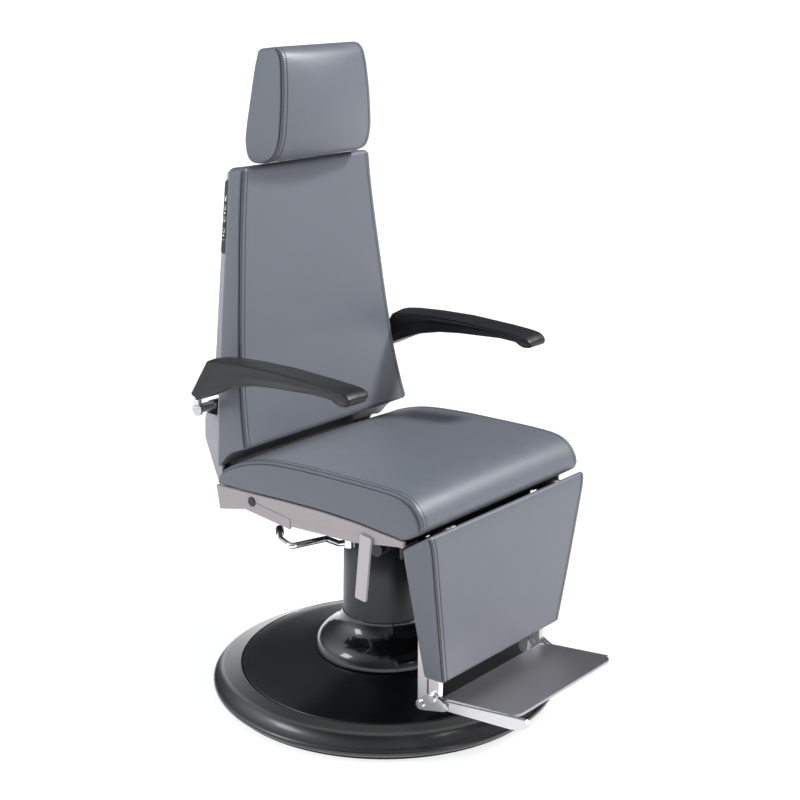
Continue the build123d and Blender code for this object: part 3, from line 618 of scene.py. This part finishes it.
leg_form = Upholstery(
    near=[(-0.2990, 0.1495), (-0.305, 0.250), (-0.3105, 0.360), (-0.3135, 0.432), (-0.3090, 0.4560)],
    far=[(-0.251, 0.1475), (-0.2495, 0.250), (-0.248, 0.340), (-0.2465, 0.400), (-0.2455, 0.4155)],
    half_width=leg_width, edge=0.0075, crown=0.003, pull=0.001, puff=0.001,
)
upholster(leg_form, "leg_upholstery", "leg_cushion", "legrest", 40, 28, cut=notch_legrest)

# ---- Armrests ------------------------------------------------------------------------------------
# One-piece mouldings of black self-skinned foam: deep and sharp-cornered behind, thinning to a rounded tip.
# The flanks are widest at a crease below the top and lean in above and under it.
ARM_EDGE = 0.005


def foam_skin():
    made = Finish("black_foam_skin", Specular_IOR_Level=0.36)
    pores = made.noise(1300, 2)
    worn = made.noise(9, 4)
    made.feed("Base Color", made.mix(worn, (0.008, 0.008, 0.009, 1), (0.015, 0.015, 0.017, 1)))
    made.feed("Roughness", 0.34 + worn * 0.14)
    made.bump(pores, 0.22, 0.0005)
    return made.material


def flank(level, outwards):
    """The sides lean: the top is narrow, above all on the side of the sitter, and the underside a little."""
    crease = 0.55
    if level > crease:
        return -0.007 * (level - crease) / (1 - crease)
    lean = 0.0015 if outwards > 0 else 0.0140
    return -lean * (1 - level / crease)


FOAM = foam_skin()
for side in ("left", "right"):
    low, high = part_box("arm_pad_" + side)
    centre = (low.x + high.x) / 2
    form = Upholstery(
        near=[
            (0.237, 0.6225), (0.187, 0.697), (0.150, 0.7020), (0.088, 0.706), (0.008, 0.708),
            (-0.094, 0.7045), (-0.140, 0.7015), (-0.158, 0.6990), (-0.1685, 0.6935), (-0.1735, 0.6850),
        ],
        far=[
            (0.216, 0.614), (0.167, 0.638), (0.115, 0.659), (0.061, 0.671), (0.008, 0.677), (-0.094, 0.6835),
            (-0.134, 0.6820), (-0.143, 0.6765), (-0.155, 0.6735), (-0.1700, 0.6760),
        ],
        half_width=lambda z: (high.x - low.x) / 2,
        edge=ARM_EDGE, crown=0.0015, rounded=False, drop=0.004, outer=math.copysign(1, centre),
        side_shape=lambda level, across: flank(level, across * centre),
    )
    pad = form.build("armrest_pad_" + side, 60, 10, 8)
    pad.data.transform(Matrix.Translation((centre, 0, 0)))
    pad.data.materials.append(FOAM)
    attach(pad, "armrest_" + side)
    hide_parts("arm_pad_" + side)

# ---- Base ----------------------------------------------------------------------------------------
# Spun and pressed sheet in deep black lacquer: a rounded rim, a gentle inner cone let into it with a fine
# joint, and a bell-shaped skirt round the column.
BASE_STEPS = 256


def turned(name, section, steps=BASE_STEPS):
    """A closed (radius, height) section spun about the column's axis."""
    count = len(section)
    points, faces = [], []
    for step in range(steps):
        angle = step * math.tau / steps
        points += [(r * math.cos(angle), r * math.sin(angle), z) for r, z in section]
    for step in range(steps):
        here, there = step * count, (step + 1) % steps * count
        for i in range(count):
            after = (i + 1) % count
            faces.append([here + i, there + i, there + after, here + after])
    return face_outwards(mesh_object(name, points, faces))


def arc(centre, radius, start, end, steps):
    angles = (math.radians(start + (end - start) * step / steps) for step in range(steps + 1))
    return [(centre[0] + radius * math.cos(a), centre[1] + radius * math.sin(a)) for a in angles]


def crisp(piece, width, steps=2, limit=35):
    """Breaks sharp edges so that they catch the light."""
    edge = piece.modifiers.new("broken edges", "BEVEL")
    edge.width = width
    edge.segments = steps
    edge.limit_method = "ANGLE"
    edge.angle_limit = math.radians(limit)
    edge.harden_normals = True
    return piece


def lacquer(name, colour, gloss, coat_gloss=0.04):
    made = Finish(name, Base_Color=colour, Coat_Weight=0.6, Coat_Roughness=coat_gloss, Specular_IOR_Level=0.5)
    dust = made.noise(7, 5)
    made.feed("Roughness", gloss + dust * 0.10)
    made.feed("Base Color", made.mix(dust, colour, tuple(c * 1.5 for c in colour[:3]) + (1,)))
    made.bump(made.noise(45, 2), 0.04, 0.0006)
    return made.material


BLACK_GLOSS = lacquer("black_gloss_lacquer", (0.003, 0.0032, 0.004, 1), 0.10)
BLACK_SEMI = lacquer("black_semi_gloss_lacquer", (0.003, 0.0032, 0.004, 1), 0.24, 0.20)
rim_low, rim_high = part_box("base_rim")
cover_low, cover_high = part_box("base_cover")
skirt_low, skirt_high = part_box("column_skirt")
RIM_WALL = 0.006
RIM_ROUND = 0.0075
EDGE_ROUND = 0.0020
COVER_WALL = 0.004
COVER_INNER_R = 0.110
OGEE = [
    (0.1410, 0.085), (0.1375, 0.096), (0.1305, 0.1055), (0.1205, 0.1140), (0.1095, 0.1220), (0.0995, 0.1305),
    (0.0925, 0.1400), (0.0885, 0.1500), (0.0873, 0.1560),
]
rim_inner_r = rim_high.x - 0.012
rim = turned(
    "base_rim_lacquered",
    arc((rim_high.x - RIM_ROUND, 0.0165), RIM_ROUND, -75, 66, 14)
    + [(cover_high.x + 0.0032, rim_high.z - 0.0006)]
    + arc((cover_high.x + 0.0030, rim_high.z - 0.0026), EDGE_ROUND, 80, 180, 5)
    + [(cover_high.x + 0.001, rim_high.z - RIM_WALL), (rim_inner_r, 0.019), (rim_inner_r, 0.010)],
)
cover = turned(
    "base_cover_lacquered",
    arc((cover_high.x - EDGE_ROUND, 0.0462), EDGE_ROUND, 0, 78, 4)
    + [(skirt_high.x + 0.002 + (cover_high.x - skirt_high.x) * (1 - t), 0.048 + (cover_high.z - 0.048) * t)
       for t in (0.25, 0.5, 0.75, 0.97)]
    + [(COVER_INNER_R, cover_high.z), (COVER_INNER_R, cover_high.z - COVER_WALL)]
    + [(skirt_high.x, cover_high.z - COVER_WALL), (cover_high.x, 0.044)],
)
bell = turned(
    "column_skirt_lacquered",
    [(0.1420, skirt_low.z), (0.1419, 0.0795)]
    + [tuple(point) for point in smoothed(OGEE, 40)[0]]
    + [(0.0872, skirt_high.z - 0.0006), (0.0868, skirt_high.z), (0.0862, skirt_high.z), (0.0860, 0.150)]
    + [(0.100, 0.122), (0.125, skirt_low.z)],
)
for piece, node, finish in (
    (rim, "base_rim", BLACK_SEMI), (cover, "base_cover", BLACK_SEMI), (bell, "column_skirt", BLACK_GLOSS)
):
    piece.data.materials.append(finish)
    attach(piece, "base")
    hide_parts(node)

# ---- Column cover --------------------------------------------------------------------------------
# A drawn tube in satin black that rises out of the skirt with the seat, slightly tapered above the skirt.
COLUMN_WALL = 0.0025
column_low, column_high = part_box("column_cover")
column_satin = Finish("column_satin_black", Specular_IOR_Level=0.5)
drawn = column_satin.noise(40, 4, stretch=(6, 6, 0.35))
column_satin.feed("Base Color", column_satin.mix(drawn, (0.010, 0.011, 0.013, 1), (0.026, 0.028, 0.032, 1)))
column_satin.feed("Roughness", 0.27 + drawn * 0.16)
column_satin.bump(drawn, 0.06, 0.0006)
column = turned(
    "column_cover_drawn",
    [(column_high.x, column_low.z), (column_high.x, 0.157), (0.0838, 0.240), (0.0820, column_high.z)]
    + [(0.0795, column_high.z), (0.0812, 0.240)]
    + [(column_high.x - COLUMN_WALL, 0.157), (column_high.x - COLUMN_WALL, column_low.z)],
)
column.data.materials.append(column_satin.material)
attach(column, "lift")
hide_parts("column_cover")

# ---- Metalwork -----------------------------------------------------------------------------------
# Frame plates in warm grey powder coat, the shell in cooler grey, bright anodised tubes and bars, a chromed
# rod, a pale flat lever, a brushed footplate, and dark steel inside the column and under the seat.


def coated(name, light, dark, rough, grain=420, depth=0.0002):
    made = Finish(name, Specular_IOR_Level=0.5)
    broad = made.noise(6, 3)
    made.feed("Base Color", made.mix(broad, dark, light))
    made.feed("Roughness", rough + broad * 0.08)
    made.bump(made.noise(grain, 2), 0.12, depth)
    return made.material


def metal(name, light, dark, rough, stretch=(1, 1, 1), scale=60, relief=0.05):
    made = Finish(name, Metallic=1.0)
    lines = made.noise(scale, 5, stretch)
    made.feed("Base Color", made.mix(lines, dark, light))
    made.feed("Roughness", rough + lines * 0.12)
    made.bump(lines, relief, 0.0003)
    return made.material


WARM_COAT = coated("warm_grey_coat", (0.37, 0.325, 0.330, 1), (0.33, 0.29, 0.295, 1), 0.42)
COOL_COAT = coated("cool_grey_coat", (0.34, 0.335, 0.37, 1), (0.31, 0.305, 0.335, 1), 0.38)
LEVER_COAT = coated("pale_lever_coat", (0.47, 0.44, 0.45, 1), (0.43, 0.40, 0.41, 1), 0.38)
DARK_COAT = coated("dark_coat", (0.010, 0.010, 0.011, 1), (0.006, 0.006, 0.007, 1), 0.5)
BRIGHT_ALU = metal("bright_aluminium", (0.66, 0.64, 0.65, 1), (0.58, 0.56, 0.57, 1), 0.30, (30, 30, 0.6))
BAR_ALU = metal("bar_aluminium", (0.68, 0.67, 0.68, 1), (0.60, 0.59, 0.60, 1), 0.32, (30, 0.6, 30))
CHROME = metal("chrome_plate", (0.88, 0.88, 0.89, 1), (0.80, 0.80, 0.82, 1), 0.05, scale=18, relief=0.01)
CHROME_SATIN = metal("satin_chrome", (0.74, 0.74, 0.76, 1), (0.62, 0.62, 0.65, 1), 0.20, scale=30)
DARK_STEEL = metal("dark_steel", (0.16, 0.16, 0.17, 1), (0.10, 0.10, 0.11, 1), 0.34)
GROUND_STEEL = metal("ground_steel", (0.55, 0.55, 0.57, 1), (0.46, 0.46, 0.48, 1), 0.20, (4, 4, 30))
BRONZE = metal("bearing_bronze", (0.52, 0.36, 0.18, 1), (0.42, 0.28, 0.13, 1), 0.35)
TREAD = metal("brushed_tread", (0.50, 0.485, 0.50, 1), (0.42, 0.405, 0.42, 1), 0.36, (0.5, 26, 26), 40, 0.08)
plastic = Finish("black_moulding", Specular_IOR_Level=0.5)
plastic.feed("Base Color", plastic.mix(plastic.noise(30), (0.010, 0.010, 0.012, 1), (0.018, 0.018, 0.021, 1)))
plastic.feed("Roughness", 0.36 + plastic.noise(14) * 0.12)
plastic.bump(plastic.noise(900, 2), 0.12, 0.0003)
BLACK_MOULDING = plastic.material
# The boards are near black as painted shade: their edges show in the gaps round the cushions, which lie in
# shade
PLY_SHADE_BLACK = coated("ply_black_as_painted_shade", (0.016, 0.015, 0.014, 1), (0.010, 0.010, 0.009, 1), 0.6, 60, 0.0004)

# Outer cheek on each side plate: pressed proud along its top, and deep behind the step at mid-length
CHEEK_T = 0.0014
for side, sign in (("left", 1), ("right", -1)):
    cheek_x = sign * seat_high.x
    cheek = prism(
        "side_cheek_" + side,
        [
            (0.229, 0.4275), (0.2215, 0.3815), (0.151, 0.3970), (0.032, 0.3860), (0.029, 0.3880),
            (0.029, 0.4058), (0.110, 0.4152), (0.124, 0.4169), (0.124, 0.4178), (0.110, 0.4165),
            (0.029, 0.4071), (0.002, 0.4085), (-0.071, 0.4140), (-0.152, 0.4210), (-0.251, 0.4235),
            (-0.251, 0.4325), (-0.200, 0.4352), (-0.138, 0.4390), (-0.050, 0.4402), (0.039, 0.4372),
            (0.131, 0.4325),
        ],
        *sorted((cheek_x, cheek_x + sign * CHEEK_T)),
    )
    cheek.data.materials.append(WARM_COAT)
    crisp(cheek, 0.0005)
    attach(cheek, "seat")

# Folded black apron under the seat's front edge, in three lengths between the legrest's hinge plates
APRON_SPANS = ((-0.2325, -0.1715), (-0.1500, 0.1500), (0.1715, 0.2325))
for number, (low_x, high_x) in enumerate(APRON_SPANS, 1):
    apron = prism(
        "front_apron_" + str(number),
        [
            (-0.2450, 0.4325), (-0.2450, 0.3960), (-0.2380, 0.3960),
            (-0.2380, 0.4215), (-0.2438, 0.4215), (-0.2438, 0.4325),
        ],
        low_x, high_x,
    )
    apron.data.materials.append(DARK_COAT)
    crisp(apron, 0.0005)
    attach(apron, "seat")

# Cranked round bar that carries each armrest: out of the shell's window, round a bend and up into the pad
BAR_R = 0.0088


def swept(name, path, radius, sides=20, turns=10, corner=0.014):
    """A round bar along a path of straight runs with rounded corners."""
    spine = [Vector(path[0])]
    for before, here, after in zip(path, path[1:], path[2:]):
        here = Vector(here)
        first = here + (Vector(before) - here).normalized() * corner
        last = here + (Vector(after) - here).normalized() * corner
        for step in range(turns + 1):
            t = step / turns
            spine.append(first * (1 - t) ** 2 + here * (2 * t * (1 - t)) + last * t ** 2)
    spine.append(Vector(path[-1]))
    across = Vector((0.31, 0.52, 0.79))
    points, faces = [], []
    for number, spot in enumerate(spine):
        way = (spine[min(number + 1, len(spine) - 1)] - spine[max(number - 1, 0)]).normalized()
        across = (across - way * across.dot(way)).normalized()
        beside = way.cross(across)
        for turn in range(sides):
            angle = turn * math.tau / sides
            points.append(spot + (across * math.cos(angle) + beside * math.sin(angle)) * radius)
    for number in range(len(spine) - 1):
        for turn in range(sides):
            a = number * sides + turn
            b = number * sides + (turn + 1) % sides
            faces.append([a, b, b + sides, a + sides])
    faces.append(list(range(sides - 1, -1, -1)))
    faces.append([(len(spine) - 1) * sides + turn for turn in range(sides)])
    return face_outwards(mesh_object(name, points, faces))


for side, sign in (("left", 1), ("right", -1)):
    bar = swept(
        "armrest_bar_" + side,
        [
            (sign * 0.206, 0.2460, 0.5850), (sign * 0.262, 0.2480, 0.5850), (sign * 0.268, 0.2440, 0.6080),
            (sign * 0.268, 0.2200, 0.6480), (sign * 0.268, 0.1750, 0.6640),
        ],
        BAR_R,
    )
    bar.data.materials.append(CHROME_SATIN)
    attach(bar, "armrest_" + side)
    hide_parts("arm_bracket_" + side)

dressed = {
    "seat_frame_left seat_frame_right": (WARM_COAT, 0.0008),
    "back_shell": (COOL_COAT, 0.0015),
    "underframe beam_front beam_rear base_plate": (DARK_COAT, 0.0008),
    "leg_tube_left leg_tube_right leg_link_left leg_link_right": (BRIGHT_ALU, 0.0012),
    "side_bar_left side_bar_right": (BAR_ALU, 0.0014),
    "flat_lever": (LEVER_COAT, 0.0010),
    "brake_rod foot_bracket_left foot_bracket_right leg_hinge_left leg_hinge_right": (CHROME, 0.0008),
    "column_tube head_flange swivel_plate back_arm_left back_arm_right": (DARK_STEEL, 0.0006),
    "mast head_stem_left head_stem_right head_cross arm_axle": (GROUND_STEEL, 0.0006),
    "footplate": (TREAD, 0.0012),
    "brake_grip clamp_knob pivot_bolt_left pivot_bolt_right keypad head_guide": (BLACK_MOULDING, 0.0005),
    "button_1 button_2 button_3 button_4": (BLACK_MOULDING, 0.0003),
    "guide_bush": (BRONZE, 0.0004),
    # the boards wear the near-black painted shade, not the ply's own colour
    "seat_board back_board leg_board head_board": (PLY_SHADE_BLACK, 0.0006),
}
for names, (finish, edge) in dressed.items():
    for name in names.split():
        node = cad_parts[name]
        node.data.materials.clear()
        node.data.materials.append(finish)
        crisp(node, edge)

# ---- Keypad icons --------------------------------------------------------------------------------
# Four printed pictograms, one on each button: a seat or a back beside an arrow up or down.
ICON_LIFT = 0.0012
flank_way = Vector((-1, 0, (BACK_HALF_W - BACK_TOP_HALF_W) / (BACK_TOP_Z - BACK_WIDE_Z))).normalized()
print_white = Finish("printed_white", Roughness=0.5)
ink = print_white.mix(print_white.noise(400), (0.72, 0.73, 0.75, 1), (0.86, 0.87, 0.88, 1))
print_white.feed("Base Color", ink)
up_way = flank_way.cross(Vector((0, 1, 0))).normalized()
if up_way.z < 0:
    up_way = -up_way
for number in range(1, 5):
    low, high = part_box("button_" + str(number))
    middle = (low + high) / 2 + flank_way * ICON_LIFT
    turn = 1 if number % 2 else -1
    strokes = [
        [(-0.0026, -0.004 * turn), (0.0026, -0.004 * turn), (0.0, 0.000)] if number < 3
        else [(-0.0026, -0.002), (0.0026, -0.002), (0.0, -0.006 * turn)],
        [(-0.0030, 0.003), (0.0030, 0.003), (0.0030, 0.0042), (-0.0030, 0.0042)],
        [(-0.0030, 0.0042), (-0.0018, 0.0042), (-0.0018, 0.0085), (-0.0030, 0.0085)],
        [(0.0018, 0.0060), (0.0030, 0.0060), (0.0030, 0.0085), (0.0018, 0.0085)],
        [(-0.0038, -0.0112), (0.0038, -0.0112), (0.0038, -0.0106), (-0.0038, -0.0106)],
    ]
    points, faces = [], []
    for stroke in strokes:
        first = len(points)
        points += [middle + Vector((0, 1, 0)) * x + up_way * z for x, z in stroke]
        faces.append(list(range(first, len(points))))
    icon = mesh_object("button_icon_" + str(number), points, faces, smooth=False)
    icon.data.materials.append(print_white.material)
    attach(icon, "button_" + str(number))
